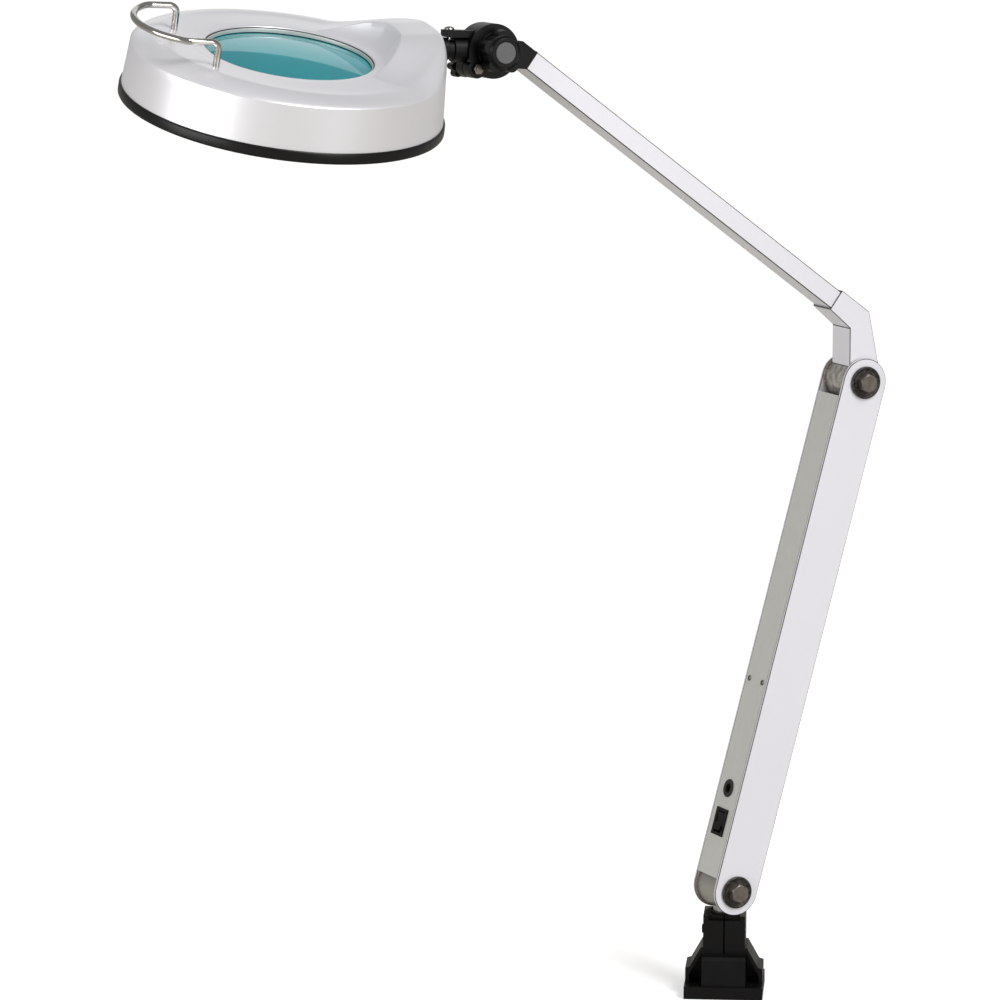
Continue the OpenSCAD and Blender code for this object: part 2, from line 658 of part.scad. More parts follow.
module head_rim() color(black) at_head() difference() {
    rotate_extrude() polygon([[rim_boss_at - 4.4, 0], [rim_r - 0.6, 0], [rim_r, 0.6],
        [rim_r - 0.5, rim_h - 0.4], [rim_r - 0.8, rim_h], [wall_r(rim_h) + 0.1, rim_h],
        [wall_foot_r + 0.1, wall_foot], [rim_boss_at - 4.4, wall_foot]]);
    for (a = [45:90:315]) rotate([0, 0, a]) translate([rim_boss_at, 0, -1]) cylinder(r = 1.6, h = 5);
}

module rim_screws() color(chrome) at_head() for (a = [45:90:315])
    rotate([0, 0, a]) translate([rim_boss_at, 0, 0])
        rotate_extrude() polygon([[0, -1.2], [1.8, -1.1], [2.8, 0], [1.5, 0], [1.5, wall_foot], [0, wall_foot]]);

// One face of the lens: the part of a large ball that stands over its edge
module lens_dome() {
    sag = lens_curve - sqrt(pow(lens_curve, 2) - pow(lens_cap_r, 2));
    intersection() {
        translate([0, 0, sag - lens_curve]) sphere(r = lens_curve, $fn = 360);
        translate([0, 0, -0.2]) cylinder(r = lens_cap_r, h = sag + 1);
    }
}

module lens() color([0.35, 0.72, 0.74, 0.5]) at_head() translate([0, 0, lens_top - lens_edge]) {
    cylinder(r = lens_r, h = lens_edge);
    translate([0, 0, lens_edge]) lens_dome();
    mirror([0, 0, 1]) lens_dome();
}

module lens_bezel() color(satin) at_head() {
    ring(aperture_r + 5, lens_r - lens_lap, lip_under - bezel_t, lip_under - eps);
    ring(aperture_r - 0.1, lens_r - lens_lap, lip_under - bezel_t, lip_top - 1);
}

module lens_gasket() color(black) at_head()
    ring(lens_r + 0.3, lens_cap_r + 0.2, lens_top, lens_top + gasket_t);

module lens_retainer() color(white) at_head() difference() {
    ring(boss_at + 2.2, lens_cap_r + 0.3, retainer_z, retainer_z + retainer_t);
    for (a = [60, 180, 300]) rotate([0, 0, a]) translate([boss_at, 0, 0]) cylinder(r = 1.3, h = 50);
}

module retainer_screws() color(chrome) at_head() for (a = [60, 180, 300])
    rotate([0, 0, a]) translate([boss_at, 0, retainer_z]) {
        translate([0, 0, -1.4]) cylinder(r = 2.4, h = 1.4);
        cylinder(r = 1.2, h = retainer_t);
    }

module reflector() color(white) at_head() rotate_extrude() polygon([
    [reflector_in, lamp_z - 12], [reflector_in, reflector_z - 2],
    [reflector_in + 2, reflector_z], [reflector_out - 2, reflector_z],
    [reflector_out, reflector_z - 4], [reflector_out, reflector_foot + reflector_t],
    [wall_r(reflector_foot) - head_wall - 0.3, reflector_foot + reflector_t],
    [wall_r(reflector_foot) - head_wall - 0.3, reflector_foot],
    [reflector_out - reflector_t, reflector_foot], [reflector_out - reflector_t, reflector_z - 4.3],
    [reflector_out - 2.4, reflector_z - reflector_t], [reflector_in + 2.4, reflector_z - reflector_t],
    [reflector_in + reflector_t, reflector_z - 2.3], [reflector_in + reflector_t, lamp_z - 12]]);

module lamp_tube() color([0.97, 0.97, 0.95]) at_head() translate([0, 0, lamp_z])
    rotate([0, 0, 180 + lamp_gap / 2]) rotate_extrude(angle = 360 - lamp_gap)
        translate([lamp_r, 0]) difference() {
            circle(r = lamp_tube_r, $fn = 48);
            circle(r = lamp_tube_r - 1, $fn = 48);
        }

module lamp_cap() color([0.9, 0.9, 0.88]) at_head() translate([0, 0, lamp_z])
    rotate([0, 0, 180 - lamp_gap / 2 + 0.1]) rotate_extrude(angle = lamp_gap - 0.2)
        translate([lamp_r - lamp_tube_r - 0.3, -lamp_tube_r - 0.3])
            square(2 * lamp_tube_r + 0.6);

module lamp_connector() color([0.85, 0.85, 0.82]) at_head()
    rotate([0, 0, 170]) rotate_extrude(angle = 20)
        translate([lamp_r - 9, lamp_z - lamp_tube_r - 5.3]) square([18, 5]);

module lamp_clips() color(chrome) at_head() for (a = [0, 105, 255])
    rotate([0, 0, a - 3]) rotate_extrude(angle = 6) translate([lamp_r, lamp_z]) difference() {
        circle(r = lamp_tube_r + 0.9, $fn = 48);
        circle(r = lamp_tube_r + 0.1, $fn = 48);
        polygon([[0, 0], [30, -22], [30, -40], [-30, -40], [-30, -22]]);
    }

// ---- Handle ----

// One half of the handle: leg, corner, straight run, and half of the bow
module handle_half() {
    bend_wire = wire_r + 0.05;
    leg_top = handle_z - bend_r;
    translate([-handle_x, handle_y, lip_under - 1]) cylinder(r = wire_r, h = leg_top + 0.2 - lip_under + 1);
    translate([-handle_x - bend_r, handle_y, leg_top]) rotate([90, 0, 0])
        rotate_extrude(angle = 90) translate([bend_r, 0]) circle(r = bend_wire);
    translate([0, handle_y, handle_z]) rod_x(wire_r, -bow_x - fillet_x - 0.2, -handle_x - bend_r + 0.2);
    translate([-bow_x - fillet_x, fillet_y, handle_z]) rotate([0, 0, 90])
        rotate_extrude(angle = 90 - bow_half) translate([bow_fillet, 0]) circle(r = bend_wire);
}

module head_handle() color(chrome) at_head() {
    for (side = [-1, 1]) scale([1, side, 1]) handle_half();
    translate([-bow_x, 0, handle_z]) rotate([0, 0, 180 - bow_half - 0.3])
        rotate_extrude(angle = 2 * bow_half + 0.6) translate([bow_r, 0]) circle(r = wire_r);
}

module handle_nuts() color(chrome) at_head() for (side = [-1, 1])
    translate([-handle_x, side * handle_y, reflector_z + 0.3]) difference() {
        cylinder(r = 4 / cos(30), h = 3, $fn = 6);
        translate([0, 0, -1]) cylinder(r = wire_r + still_fit, h = 6);
    }

base_bracket();
post_bush();
base_clamp_screw();
base_clamp_nut();
pivot_post();
arm_channel();
arm_cover();
cover_screws();
switch_body();
cable_gland();
ballast();
starter();
starter_socket();
base_pivot_bolt();
base_pivot_nut();
base_cup_washers();
base_friction_discs();
elbow_pivot_bolt();
elbow_pivot_nut();
elbow_cup_washers();
elbow_friction_discs();
switch_rocker();
elbow_bracket();
arm_tube();
arm_end();
tilt_bolt();
tilt_washer();
tilt_knob();
knob_cap();
clamp_body();
stop_screw();
roll_bolt();
roll_nut();
roll_knob();
neck_stub();
neck_nut();
head_housing();
head_rim();
rim_screws();
lens();
lens_bezel();
lens_gasket();
lens_retainer();
retainer_screws();
reflector();
lamp_tube();
lamp_cap();
lamp_connector();
lamp_clips();
head_handle();
handle_nuts();
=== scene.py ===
"""A ring-light magnifier on a two-part friction arm, in a plain white studio."""
import json
from math import atan2, cos, pi, radians, sin, sqrt, tan

import bpy
from mathutils import Matrix, Vector


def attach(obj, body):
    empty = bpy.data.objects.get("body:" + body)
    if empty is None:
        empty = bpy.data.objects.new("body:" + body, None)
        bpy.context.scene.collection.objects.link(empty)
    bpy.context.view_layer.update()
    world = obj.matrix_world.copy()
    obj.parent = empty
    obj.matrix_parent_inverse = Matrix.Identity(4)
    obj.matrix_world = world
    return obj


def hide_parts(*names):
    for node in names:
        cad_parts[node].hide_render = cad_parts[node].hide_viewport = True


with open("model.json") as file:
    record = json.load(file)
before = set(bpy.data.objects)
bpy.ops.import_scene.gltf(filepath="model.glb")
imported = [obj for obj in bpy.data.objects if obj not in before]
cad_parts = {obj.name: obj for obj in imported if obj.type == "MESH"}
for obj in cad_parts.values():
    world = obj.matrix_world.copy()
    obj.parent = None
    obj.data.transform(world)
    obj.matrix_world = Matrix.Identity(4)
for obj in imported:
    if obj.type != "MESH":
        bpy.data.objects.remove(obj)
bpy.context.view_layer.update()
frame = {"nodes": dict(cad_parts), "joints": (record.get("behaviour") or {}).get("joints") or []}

# ---- Studio ----
# A pale floor that runs to the horizon, one soft overhead sun, and softboxes on both sides
# and behind that give the painted metal its long highlights. The long lens stands 3.6 m away.
mm = 0.001
camera_place = Vector((0.1360, -3.6092, 0.9727))
camera_down = radians(9.314)
camera_turn = radians(4.892)
scene = bpy.context.scene
bpy.ops.object.camera_add(location=camera_place, rotation=(pi / 2 - camera_down, 0, camera_turn))
scene.camera = bpy.context.object
scene.camera.data.lens = 174.3
scene.camera.data.sensor_width = 36
scene.camera.data.clip_end = 200
scene.view_settings.view_transform = "Standard"


class Signal:
    """A value in a node tree. Sums and products with it add Math nodes."""

    def __init__(self, nodes, socket):
        self.nodes = nodes
        self.socket = socket

    def math(self, operation, first, second):
        return self.nodes.add("ShaderNodeMath", {"operation": operation}, {0: first, 1: second})

    def __add__(self, other):
        return self.math("ADD", self, other)

    def __radd__(self, other):
        return self.math("ADD", other, self)

    def __mul__(self, other):
        return self.math("MULTIPLY", self, other)

    def __rmul__(self, other):
        return self.math("MULTIPLY", other, self)


class Nodes:
    """The node tree of a material or of the studio's world."""

    def __init__(self, tree):
        self.tree = tree

    def add(self, kind, settings=None, sockets=None, out=0):
        """A node of that type, with its settings made first and its sockets set or linked next."""
        node = self.tree.nodes.new(kind)
        for key, value in (settings or {}).items():
            if key == "stops":
                node.color_ramp.elements[0].position = value[0]
                node.color_ramp.elements[1].position = value[1]
            else:
                setattr(node, key, value)
        for key, value in (sockets or {}).items():
            self.feed(node.inputs[key], value)
        return Signal(self, node.outputs[out])

    def feed(self, socket, value):
        if isinstance(value, Signal):
            self.tree.links.new(value.socket, socket)
        else:
            socket.default_value = value


class Paint(Nodes):
    """A Principled material. Its plain inputs are given at once, and vary feeds the others."""

    def __init__(self, title, **plain):
        self.material = bpy.data.materials.new(title)
        self.material.use_nodes = True
        super().__init__(self.material.node_tree)
        self.shader = self.tree.nodes["Principled BSDF"]
        self.here = self.add("ShaderNodeTexCoord", out="Object")
        self.vary(**plain)

    def vary(self, **inputs):
        for title, value in inputs.items():
            self.feed(self.shader.inputs[title.replace("_", " ")], value)

    def noise(self, scale, detail=3.0, where=None):
        sockets = {"Vector": where or self.here, "Scale": scale, "Detail": detail}
        return self.add("ShaderNodeTexNoise", {}, sockets)

    def marks(self, attribute):
        """A number that the piece's mesh holds for each face."""
        return self.add("ShaderNodeAttribute", {"attribute_name": attribute}, out="Fac")

    def ramp(self, value, low, high):
        return self.add("ShaderNodeValToRGB", {"stops": (low, high)}, {"Fac": value})

    def blend(self, mask, first, second):
        """The first colour where the mask is 0, and the second where it is 1."""
        factor, colour_a, colour_b, colour_out = 0, 6, 7, 2
        sockets = {factor: mask, colour_a: first, colour_b: second}
        return self.add("ShaderNodeMix", {"data_type": "RGBA"}, sockets, colour_out)

    def relief(self, height, depth, strength):
        sockets = {"Strength": strength, "Distance": depth, "Height": height}
        self.vary(Normal=self.add("ShaderNodeBump", {}, sockets))


def tone(shade, *tint):
    """A colour of that brightness, with the tint's three factors if any are given."""
    return tuple(shade * t for t in (tint or (1, 1, 1))) + (1,)


floor_paint = Paint("floor", Roughness=0.9, Emission_Color=tone(1.0), Emission_Strength=0.4)
floor_paint.vary(Base_Color=floor_paint.blend(floor_paint.noise(3), tone(0.88), tone(0.9)))
dim_floor = floor_paint.add("ShaderNodeBsdfDiffuse", {}, {"Color": tone(0.52, 1, 0.96, 0.86)})
bright_floor = Signal(floor_paint, floor_paint.shader.outputs[0])
floor_seen = floor_paint.add("ShaderNodeLightPath", out="Is Camera Ray")
floor_mix = floor_paint.add("ShaderNodeMixShader", {}, {0: floor_seen, 1: dim_floor, 2: bright_floor})
floor_paint.feed(floor_paint.tree.nodes["Material Output"].inputs["Surface"], floor_mix)
bpy.ops.mesh.primitive_plane_add(size=120, location=(0, 0, -0.1 * mm))
floor = bpy.context.object
floor.name = "studio_floor"
floor.data.materials.append(floor_paint.material)

world = bpy.data.worlds.new("studio")
scene.world = world
world.use_nodes = True
sky = Nodes(world.node_tree)
sky.tree.nodes.remove(sky.tree.nodes["Background"])
room = sky.add("ShaderNodeBackground", {}, {"Color": tone(0.3, 1, 0.985, 0.95)})
backdrop = sky.add("ShaderNodeBackground", {}, {"Color": tone(1.0)})
sky_seen = sky.add("ShaderNodeLightPath", out="Is Camera Ray")
sky_mix = sky.add("ShaderNodeMixShader", {}, {0: sky_seen, 1: room, 2: backdrop})
sky.feed(sky.tree.nodes["World Output"].inputs["Surface"], sky_mix)


def softbox(title, place, aim, width, height, power):
    """A rectangular soft light that stands at place and faces aim."""
    turn = (Vector(aim) - Vector(place)).to_track_quat("-Z", "Y").to_euler()
    bpy.ops.object.light_add(type="AREA", location=place, rotation=turn)
    light = bpy.context.object
    light.name = title
    light.data.shape = "RECTANGLE"
    light.data.size = width
    light.data.size_y = height
    light.data.energy = power


softbox("softbox_left", (-2.7, -2.1, 1.1), (-0.2, 0, 0.6), 2.4, 2.0, 62)
softbox("softbox_right", (2.3, -2.6, 1.1), (0, 0, 0.5), 1.4, 2.2, 27)
softbox("softbox_back", (-0.4, 3.2, 1.9), (-0.25, 0, 0.7), 2.6, 1.6, 8)
bpy.ops.object.light_add(type="SUN", rotation=(radians(28), radians(35), 0))
sun = bpy.context.object
sun.data.energy = 1.95
sun.data.angle = radians(26)

# ---- Base bracket ----
# A black glass-filled nylon moulding that is screwed to the bench. Its square tower holds the
# post's bush, a pinch screw closes the tower's slit, and side walls and braces stiffen it.
black_moulding = Paint("black_nylon", IOR=1.5, Specular_IOR_Level=0.2)
grain = black_moulding.noise(2400, 2)
sheen = black_moulding.noise(60, 3)
black_moulding.vary(
    Base_Color=black_moulding.blend(sheen, tone(0.002), tone(0.004, 1, 1, 1.15)),
    Roughness=0.3 + sheen * 0.16)
black_moulding.relief(grain, 0.04 * mm, 0.55)
sharp = radians(30)
crease = radians(38)
weld_gap = 0.002 * mm
flatness = radians(0.6)


def only(piece):
    """Leaves that piece alone selected and active."""
    bpy.ops.object.select_all(action="DESELECT")
    piece.select_set(True)
    bpy.context.view_layer.objects.active = piece


def smooth(piece, angle=35):
    """Shades the piece smooth, apart from edges that turn by more than the angle."""
    only(piece)
    bpy.ops.object.shade_smooth_by_angle(angle=radians(angle))
    return piece


def rounded(piece, width, segments, clamp):
    """Bevels every sharp edge, marks the new faces 1 in the "edge" attribute, and shades smooth."""
    only(piece)
    piece.data.materials.clear()
    for slot in range(2):
        piece.data.materials.append(None)
    bevel = piece.modifiers.new("edges", "BEVEL")
    bevel.material = 1
    bevel.use_clamp_overlap = clamp
    bevel.width = width * mm
    bevel.segments = segments
    bevel.limit_method = "ANGLE"
    bevel.angle_limit = sharp
    bpy.ops.object.modifier_apply(modifier=bevel.name)
    edge = piece.data.attributes.new("edge", "FLOAT", "FACE")
    edge.data.foreach_set("value", [float(face.material_index) for face in piece.data.polygons])
    for face in piece.data.polygons:
        face.material_index = 0
    bpy.ops.object.shade_smooth_by_angle(angle=crease)
    flat = piece.modifiers.new("flats", "WEIGHTED_NORMAL")
    flat.keep_sharp = True
    bpy.ops.object.modifier_apply(modifier=flat.name)
    return piece


def recut(node, title, width, segments=2, clamp=True):
    """A copy of a machined or moulded node's own mesh, with its sharp edges bevelled."""
    piece = bpy.data.objects.new(title, frame["nodes"][node].data.copy())
    scene.collection.objects.link(piece)
    only(piece)
    bpy.ops.object.mode_set(mode="EDIT")
    bpy.ops.mesh.select_all(action="SELECT")
    bpy.ops.mesh.remove_doubles(threshold=weld_gap)
    bpy.ops.mesh.dissolve_limited(angle_limit=flatness)
    bpy.ops.object.mode_set(mode="OBJECT")
    return rounded(piece, width, segments, clamp) if width else smooth(piece)


def fit(piece, body, slot, paint, *nodes):
    """Paints a finished piece, and puts it on its body in place of the nodes named."""
    piece.data.materials.clear()
    piece.data.materials.append(paint.material)
    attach(piece, body)
    if nodes:
        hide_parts(*nodes)


for node, title, broken_edge in (
        ("base_bracket", "base_moulding", 0.45),
        ("post_bush", "post_collar", 0.3),
        ("base_clamp_screw", "pinch_screw", 0.15)):
    fit(recut(node, title, broken_edge), "root", "black_plastic", black_moulding, node)

# ---- Post ----
# Turned steel, satin finished, with the fine rings that a lathe leaves. The stem turns in the
# base's bush, and the barrel across its top carries the lower arm between fibre discs.
satin = Paint("satin_metal", Metallic=0.75)
tooling = satin.noise(900, 2)
cloud = satin.noise(25, 3)
satin.vary(
    Base_Color=satin.blend(cloud, tone(0.36, 1, 0.99, 0.94), tone(0.48, 1, 0.99, 0.94)),
    Roughness=0.3 + cloud * 0.16)
satin.relief(tooling, 0.02 * mm, 0.5)
fit(recut("pivot_post", "swivel_post", 0.35), "post", "satin_metal", satin, "pivot_post")

# ---- Lower arm channel, elbow sleeve and upper arm tube ----
# Drawn aluminium, lacquered silver-white. The lacquer is satin with a faint lilac cast. Its bevelled
# edges are painted near black: painted shade along every edge. The elbow's barrel is left bare.
lacquer = Paint("arm_lacquer", Coat_Weight=0.15, Coat_Roughness=0.3)
flake = lacquer.noise(3000, 1)
drift = lacquer.noise(9, 2)
# The bevelled faces, which carry the painted edge shade.
edge_shade_mask = lacquer.marks("edge")
bare = lacquer.marks("bare")
stains = lacquer.ramp(lacquer.noise(260, 4), 0.35, 0.65)
face_tone = lacquer.blend(drift, tone(0.8, 0.965, 0.96, 1.04), tone(0.85, 0.965, 0.96, 1.04))
bare_tone = lacquer.blend(stains, tone(0.3, 1, 0.96, 0.88), tone(0.62, 1, 0.98, 0.93))
# Painted shade: the near-black colour given to every bevelled edge.
edge_shade_tone = tone(0.06, 1, 0.98, 0.9)
lacquer.vary(
    Metallic=0.3 + bare * 0.4,
    Base_Color=lacquer.blend(edge_shade_mask, lacquer.blend(bare, face_tone, bare_tone), edge_shade_tone),
    Roughness=0.36 + flake * 0.1)
lacquer.relief(flake, 0.012 * mm, 0.2)
channel = recut("arm_channel", "lower_channel", 0.55, clamp=False)
fit(channel, "lower_arm", "arm_paint", lacquer, "arm_channel")
fit(recut("arm_tube", "upper_tube", 0.72), "upper_arm", "arm_paint", lacquer, "arm_tube")
joints = {joint["name"]: joint for joint in frame["joints"]}
elbow_point = Vector(joints["elbow_pivot"]["pos_m"])
elbow_axis = Vector(joints["elbow_pivot"]["axis"]).normalized()
barrel_r = 16.4 * mm
sleeve = recut("elbow_bracket", "elbow_sleeve", 0.55, clamp=False)
stripped = []
for face in sleeve.data.polygons:
    reach = face.center - elbow_point
    stripped.append(float((reach - elbow_axis * reach.dot(elbow_axis)).length < barrel_r))
sleeve.data.attributes.new("bare", "FLOAT", "FACE").data.foreach_set("value", stripped)
fit(sleeve, "upper_arm", "arm_paint", lacquer, "elbow_bracket")

# ---- Lower arm cover ----
# Folded aluminium sheet, brushed along its length, that closes the channel's open face. It
# stops short of both pivots, and holds the switch and the cord's grommet.
sheet = Paint("cover_sheet", Metallic=0.4)
run = sheet.add("ShaderNodeMapping", {}, {"Vector": sheet.here, "Scale": (600, 600, 12)})
brushing = sheet.noise(1, 2, run)
sheet.vary(
    Base_Color=sheet.blend(brushing, tone(0.6, 1, 0.995, 0.955), tone(0.68, 1, 0.995, 0.955)),
    Roughness=0.38 + brushing * 0.14)
sheet.relief(brushing, 0.01 * mm, 0.35)
fit(recut("arm_cover", "channel_cover", 0.25), "lower_arm", "satin_metal", sheet, "arm_cover")

# ---- Pivot bolts, nuts and cup washers ----
# Cold-headed steel bolts with a bronze-brown oxide, one through each pivot. The dished washers
# under the head and the nut are blacked, and press the joint together like springs.
oxide = Paint("bronze_oxide", Metallic=0.8)
bloom = oxide.noise(240, 4)
oxide.vary(
    Base_Color=oxide.blend(bloom, tone(0.09, 1, 0.86, 0.76), tone(0.26, 1, 0.88, 0.8)),
    Roughness=0.3 + bloom * 0.25)
oxide.relief(bloom, 0.05 * mm, 0.35)
blacking = Paint("black_oxide", Metallic=0.6)
crust = blacking.noise(420, 4)
patches = blacking.ramp(crust, 0.35, 0.7)
blacking.vary(
    Base_Color=blacking.blend(patches, tone(0.018, 1, 0.9, 0.85), tone(0.085, 1, 0.88, 0.8)),
    Roughness=0.35 + crust * 0.25)
blacking.relief(crust, 0.08 * mm, 0.5)
for pivot in ("base", "elbow"):
    for part, paint in (("pivot_bolt", oxide), ("pivot_nut", oxide), ("cup_washers", blacking)):
        node = f"{pivot}_{part}"
        fit(recut(node, f"{node}_turned", 0.3), "lower_arm", "bronze_steel", paint, node)

# ---- Friction discs ----
# Rings stamped from pressed fibre sheet, brown with paler strands. One sits on each side of
# each barrel, where the bolt squeezes it and it gives the joint its drag.
fibre = Paint("pressed_fibre", Roughness=0.8)
strands = fibre.noise(700, 4)
matted = fibre.ramp(strands, 0.35, 0.65)
fibre.vary(Base_Color=fibre.blend(matted, tone(0.16, 1, 0.8, 0.72), tone(0.34, 1, 0.85, 0.78)))
fibre.relief(strands, 0.08 * mm, 0.5)
for node in ("base_friction_discs", "elbow_friction_discs"):
    fit(recut(node, f"{node}_pressed", 0.2), "lower_arm", "friction_fibre", fibre, node)

# ---- Bright hardware ----
# Chromium plate over polished steel: screws, nuts and washers. The pinch bolt on the neck and
# the cover's two screws have lost their shine.
chrome = Paint("bright_chrome", Metallic=1.0)
smear = chrome.noise(90, 3)
chrome.vary(
    Base_Color=chrome.blend(smear, tone(0.46, 1, 0.97, 0.92), tone(0.6, 1, 0.97, 0.92)),
    Roughness=0.05 + smear * 0.1)
worn = Paint("worn_plate", Metallic=1.0)
rub = worn.noise(300, 3)
worn.vary(
    Base_Color=worn.blend(rub, tone(0.1, 1, 0.84, 0.76), tone(0.24, 1, 0.88, 0.82)),
    Roughness=0.22 + rub * 0.2)
for node, body, paint in (
        ("base_clamp_nut", "root", chrome),
        ("cover_screws", "lower_arm", worn),
        ("tilt_bolt", "upper_arm", chrome),
        ("tilt_washer", "upper_arm", chrome),
        ("stop_screw", "head_clamp", chrome),
        ("roll_bolt", "head_clamp", worn),
        ("roll_nut", "head_clamp", worn),
        ("neck_nut", "head", chrome),
        ("rim_screws", "head", chrome),
        ("retainer_screws", "head", chrome),
        ("lamp_clips", "head", chrome),
        ("handle_nuts", "head", chrome)):
    fit(recut(node, f"{node}_plated", 0.12), body, "bright_chrome", paint, node)

# ---- Switch, rocker and grommet ----
# A snap-in nylon rocker switch sits in the cover, with a soft rubber grommet above it where the
# mains cord enters. The lens gasket is cut from the same black rubber.
for node, body in (("switch_body", "lower_arm"), ("switch_rocker", "rocker")):
    fit(recut(node, f"{node}_moulded", 0.25), body, "black_plastic", black_moulding, node)
rubber = Paint("black_rubber", Roughness=0.62)
dust = rubber.noise(350, 3)
rubber.vary(Base_Color=rubber.blend(dust, tone(0.006), tone(0.011)))
rubber.relief(dust, 0.04 * mm, 0.5)
for node, body in (("cable_gland", "lower_arm"), ("lens_gasket", "head")):
    fit(recut(node, f"{node}_rubber", 0.3), body, "gasket_rubber", rubber, node)

# ---- Ballast and starter ----
# The choke and the glow starter that feed the ring lamp, each in a zinc-plated steel can. Both
# are closed in the lower arm, behind its cover.
can = Paint("steel_can", Metallic=0.9)
zinc = can.noise(120, 4)
can.vary(Base_Color=can.blend(zinc, tone(0.45), tone(0.6)), Roughness=0.35 + zinc * 0.2)
for node in ("ballast", "starter"):
    fit(recut(node, f"{node}_can", 0.6), "lower_arm", "steel_can", can, node)

# ---- White mouldings ----
# Heat-proof white thermoset: the starter's socket, the ring that holds the lens up, and the
# lamp's cap with the connector pushed on it.
ivory = Paint("white_moulding", Roughness=0.4)
haze = ivory.noise(200, 2)
ivory.vary(Base_Color=ivory.blend(haze, tone(0.78, 1, 1, 0.97), tone(0.84, 1, 1, 0.98)))
for node, body in (
        ("starter_socket", "lower_arm"),
        ("lens_retainer", "head"),
        ("lamp_cap", "head"),
        ("lamp_connector", "head")):
    fit(recut(node, f"{node}_white", 0.4), body, "white_plastic", ivory, node)

# ---- Reflector and ring lamp ----
# A spun steel pan under baked white enamel, with the fluorescent ring clipped below it. The
# ring is a glass tube with a matt white phosphor inside a glossy skin.
enamel = Paint("white_enamel", Coat_Weight=0.4)
flow = enamel.noise(30, 2)
enamel.vary(Base_Color=enamel.blend(flow, tone(0.84), tone(0.9)), Roughness=0.25 + flow * 0.1)
fit(recut("reflector", "reflector_pan", 0.3), "head", "white_enamel", enamel, "reflector")
phosphor = Paint("lamp_phosphor", Coat_Weight=1.0, Coat_Roughness=0.03, Roughness=0.5)
powder = phosphor.noise(60, 3)
phosphor.vary(Base_Color=phosphor.blend(powder, tone(0.86), tone(0.93, 1, 1, 0.98)))
fit(recut("lamp_tube", "ring_lamp", 0), "head", "lamp_glass", phosphor, "lamp_tube")

# ---- Head joint ----
# Black nylon mouldings: the forked arm end, the round split clamp on the neck, and the lobed
# knobs that pinch the fork and the clamp. A grey disc closes the tilt knob's end.
for node, body in (
        ("arm_end", "upper_arm"),
        ("tilt_knob", "tilt_knob"),
        ("clamp_body", "head_clamp"),
        ("roll_knob", "roll_knob"),
        ("neck_stub", "head")):
    fit(recut(node, f"{node}_moulded", 0.5, 3), body, "black_plastic", black_moulding, node)
grey_cap = Paint("grey_cap", Roughness=0.5)
matt = grey_cap.noise(500, 2)
grey_cap.vary(Base_Color=grey_cap.blend(matt, tone(0.1, 1, 1.02, 1.04), tone(0.12, 1, 1.02, 1.04)))
fit(recut("knob_cap", "knob_badge_blank", 0.2), "tilt_knob", "cap_plastic", grey_cap, "knob_cap")

# ---- Head housing ----
# One aluminium shell with a pearl lacquer: a drafted wall, a broad bevel and a crest round a flat
# ring. Its back rises to a flat-topped block over the neck, with a scoop cut towards the lens.
tilt_point = Vector(joints["head_tilt"]["pos_m"])
arm_side = Vector(joints["head_tilt"]["axis"]).normalized()
neck_line = Vector(joints["head_roll"]["axis"]).normalized()
head_roll = radians(14.4)
neck_reach = 155.5 * mm
neck_height = 48.8 * mm


def stand(place, along, side):
    """The matrix of a piece's own axes: X along, Y to the side, Z the rest."""
    turn = Matrix((along, side, along.cross(side))).transposed().to_4x4()
    return Matrix.Translation(place) @ turn


clamp_axes = stand(tilt_point, neck_line, arm_side)
head_middle = Matrix.Translation((-neck_reach, 0, -neck_height))
head_axes = clamp_axes @ Matrix.Rotation(head_roll, 4, "X") @ head_middle


def turned(title, outline, place, steps=128, closed=True):
    """Spins an outline of (radius, height) in millimetres about Z, then puts it in place.

    The "station" attribute keeps each point's number in the outline.
    """
    mesh = bpy.data.meshes.new(title)
    count = len(outline)
    edges = [(k, (k + 1) % count) for k in range(count if closed else count - 1)]
    mesh.from_pydata([(r * mm, 0, z * mm) for r, z in outline], edges, [])
    station = mesh.attributes.new("station", "INT", "POINT")
    station.data.foreach_set("value", range(count))
    piece = bpy.data.objects.new(title, mesh)
    scene.collection.objects.link(piece)
    only(piece)
    bpy.ops.object.mode_set(mode="EDIT")
    bpy.ops.mesh.select_all(action="SELECT")
    bpy.ops.mesh.spin(steps=steps, angle=2 * pi, center=(0, 0, 0), axis=(0, 0, 1))
    bpy.ops.mesh.select_all(action="SELECT")
    bpy.ops.mesh.remove_doubles(threshold=0.001 * mm)
    bpy.ops.mesh.normals_make_consistent(inside=False)
    bpy.ops.object.mode_set(mode="OBJECT")
    piece.data.transform(place)
    return piece


shell = 2.5
wall_draft = tan(radians(4.8))
wall_foot = 1.5
wall_foot_r = 116.7
shoulder_low = 39.5
shoulder_rise = 20.5
ridge_r = 96
ridge_spread = 13.3
crest_low = 44.3
crest_front = 3.9
crest_drop = 0.7
block_top = 65.0
block_half = 15.5
block_foot = radians(52)
block_outer_r = 108
block_inner_r = 80
brim_r = 79.3
brim_spread = 10.6
scoop_mouth = radians(9)
scoop_end = radians(47)
lip_r = 61.5
lip_top = 44.0
lip_under = 41.5
bevel_steps = 8


def wall_r(z):
    """The drafted wall's outer radius at that height."""
    return wall_foot_r - (z - wall_foot) * wall_draft


def share(value, low, high):
    """How far the value is from low to high, from 0 to 1."""
    return min(1.0, max(0.0, (value - low) / (high - low)))


def risen(turn, radius):
    """How much of the block's height the back has at that turn from the neck and radius."""
    edge = atan2(block_half, sqrt(radius ** 2 - block_half ** 2))
    ramp = share(block_foot - abs(turn), 0, block_foot - edge)
    return 0.5 * ramp + 0.5 * ramp * ramp * (3 - 2 * ramp)


